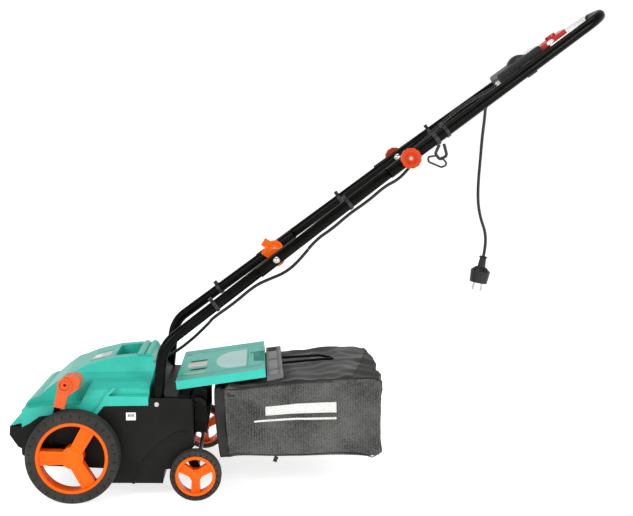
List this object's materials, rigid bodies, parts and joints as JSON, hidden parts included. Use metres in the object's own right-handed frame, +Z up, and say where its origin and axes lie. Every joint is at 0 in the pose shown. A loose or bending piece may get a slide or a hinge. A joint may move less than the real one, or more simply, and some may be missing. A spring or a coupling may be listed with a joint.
{
  "type": "lawn dethatcher",
  "caption": "Electric lawn dethatcher: black chassis with mint hood and rear flap, mesh catch bag, orange wheels, folding tubular handle with switch, spring-tine roller.",
  "frame": {"origin": "on the ground, under the middle of the machine's overall length and width", "axes": "+X to the rear, towards the grip; -Y is the machine's left side; +Z up"},
  "size_m": [1.3461, 0.506, 1.0778],
  "materials": {
    "housing_black": "satin",
    "hood_mint": "satin",
    "orange_plastic": "satin",
    "lever_orange": "satin",
    "knob_red": "satin",
    "trigger_red": "gloss",
    "tyre_black": "matte",
    "tube_black": "gloss",
    "steel": "satin",
    "motor_metal": "matte",
    "spring_steel": "satin",
    "belt_rubber": "matte",
    "bag_mesh": "matte",
    "bag_trim": "satin",
    "cable_black": "satin",
    "fitting_black": "satin"
  },
  "bodies": {
    "chassis": {"chassis_shell": "housing_black", "side_cover_left": "housing_black", "side_cover_right": "housing_black", "front_bumper": "housing_black", "rear_deck": "housing_black", "discharge_chute": "housing_black", "motor_hood": "hood_mint", "hood_screws": "steel", "motor_housing": "motor_metal", "drive_belt": "belt_rubber", "roller_bearings": "steel", "rear_axle": "steel", "flap_hinge_pin": "steel", "flap_hinge_posts": "housing_black", "foot_bolts": "steel", "lower_tube_left": "tube_black", "lower_tube_right": "tube_black", "lower_joint_bolts": "steel", "cable_clip_lower": "fitting_black", "motor_cable_lower": "cable_black"},
    "depth_axle": {"front_crank_axle": "tube_black", "depth_lever": "lever_orange"},
    "front_wheel_left": {"front_tyre_left": "tyre_black", "front_rim_left": "orange_plastic"},
    "front_wheel_right": {"front_tyre_right": "tyre_black", "front_rim_right": "orange_plastic"},
    "rear_wheel_left": {"rear_tyre_left": "tyre_black", "rear_rim_left": "orange_plastic"},
    "rear_wheel_right": {"rear_tyre_right": "tyre_black", "rear_rim_right": "orange_plastic"},
    "motor_rotor": {"rotor_shaft": "steel", "drive_pulley": "steel"},
    "tine_roller": {"roller_shaft": "steel", "tine_springs": "spring_steel", "driven_pulley": "steel"},
    "flap": {"rear_flap": "hood_mint"},
    "catch_bag": {"bag_fabric": "bag_mesh", "bag_frame": "steel", "bag_collar": "bag_trim", "bag_handle": "tube_black"},
    "middle_handle": {"middle_tube_left": "tube_black", "middle_tube_right": "tube_black", "upper_joint_bolts": "steel", "cable_clip_middle": "fitting_black", "motor_cable_middle": "cable_black"},
    "grip_handle": {"upper_handle": "tube_black", "switch_box": "fitting_black", "cable_clip_upper": "fitting_black", "motor_cable_upper": "cable_black", "cord_hook": "fitting_black", "mains_cord": "cable_black", "plug_body": "cable_black", "plug_pins": "steel", "strain_relief": "cable_black"},
    "lower_knob_left": {"lower_wing_knob_left": "orange_plastic"},
    "lower_knob_right": {"lower_wing_knob_right": "orange_plastic"},
    "grip_knob_left": {"upper_knob_left": "knob_red"},
    "grip_knob_right": {"upper_knob_right": "knob_red"},
    "switch_trigger": {"switch_lever": "trigger_red"},
    "start_lock": {"lock_button": "fitting_black"}
  },
  "joints": [
    {"name": "depth_adjust", "type": "hinge", "parent": "chassis", "child": "depth_axle", "pos_m": [-0.58327, 0, 0.114], "axis": [0, -1, 0], "range_deg": [0, 25]},
    {"name": "front_wheel_left_spin", "type": "hinge", "parent": "depth_axle", "child": "front_wheel_left", "pos_m": [-0.52727, -0.2295, 0.101], "axis": [0, 1, 0], "continuous": true},
    {"name": "front_wheel_right_spin", "type": "hinge", "parent": "depth_axle", "child": "front_wheel_right", "pos_m": [-0.52727, 0.2295, 0.101], "axis": [0, 1, 0], "continuous": true},
    {"name": "rear_wheel_left_spin", "type": "hinge", "parent": "chassis", "child": "rear_wheel_left", "pos_m": [-0.26427, -0.226, 0.056], "axis": [0, 1, 0], "continuous": true},
    {"name": "rear_wheel_right_spin", "type": "hinge", "parent": "chassis", "child": "rear_wheel_right", "pos_m": [-0.26427, 0.226, 0.056], "axis": [0, 1, 0], "continuous": true},
    {"name": "rotor_spin", "type": "hinge", "parent": "chassis", "child": "motor_rotor", "pos_m": [-0.45227, 0, 0.222], "axis": [0, 1, 0], "continuous": true},
    {"name": "roller_spin", "type": "hinge", "parent": "chassis", "child": "tine_roller", "pos_m": [-0.40527, 0, 0.076], "axis": [0, 1, 0], "continuous": true},
    {"name": "flap_open", "type": "hinge", "parent": "chassis", "child": "flap", "pos_m": [-0.30027, 0, 0.241], "axis": [0, -1, 0], "range_deg": [0, 45]},
    {"name": "bag_slide", "type": "slide", "parent": "chassis", "child": "catch_bag", "axis": [1, 0, 0], "range_m": [0, 0.06]},
    {"name": "lower_fold", "type": "hinge", "parent": "chassis", "child": "middle_handle", "pos_m": [-0.08669, 0, 0.51803], "axis": [0, -1, 0], "range_deg": [0, 140]},
    {"name": "upper_fold", "type": "hinge", "parent": "middle_handle", "child": "grip_handle", "pos_m": [0.20894, 0, 0.73952], "axis": [0, 1, 0], "range_deg": [0, 100]},
    {"name": "switch_pull", "type": "hinge", "parent": "grip_handle", "child": "switch_trigger", "pos_m": [0.51612, 0, 0.98196], "axis": [0, 1, 0], "range_deg": [0, 12], "stiffness_Nm_per_rad": 1.2, "springref_deg": -20.05},
    {"name": "lock_press", "type": "slide", "parent": "grip_handle", "child": "start_lock", "axis": [0.5869, 0, -0.8096], "range_m": [0, 0.004], "stiffness_N_per_m": 900, "springref_m": -0.002},
    {"name": "lower_knob_left_turn", "type": "hinge", "parent": "chassis", "child": "lower_knob_left", "pos_m": [-0.08669, -0.118, 0.51803], "axis": [0, 1, 0], "continuous": true},
    {"name": "lower_knob_right_turn", "type": "hinge", "parent": "chassis", "child": "lower_knob_right", "pos_m": [-0.08669, 0.118, 0.51803], "axis": [0, 1, 0], "continuous": true},
    {"name": "grip_knob_left_turn", "type": "hinge", "parent": "middle_handle", "child": "grip_knob_left", "pos_m": [0.20894, -0.165, 0.73952], "axis": [0, 1, 0], "continuous": true},
    {"name": "grip_knob_right_turn", "type": "hinge", "parent": "middle_handle", "child": "grip_knob_right", "pos_m": [0.20894, 0.165, 0.73952], "axis": [0, 1, 0], "continuous": true}
  ],
  "couplings": [
    {"joint": "rotor_spin", "follows": "roller_spin", "ratio": 1.78}
  ]
}
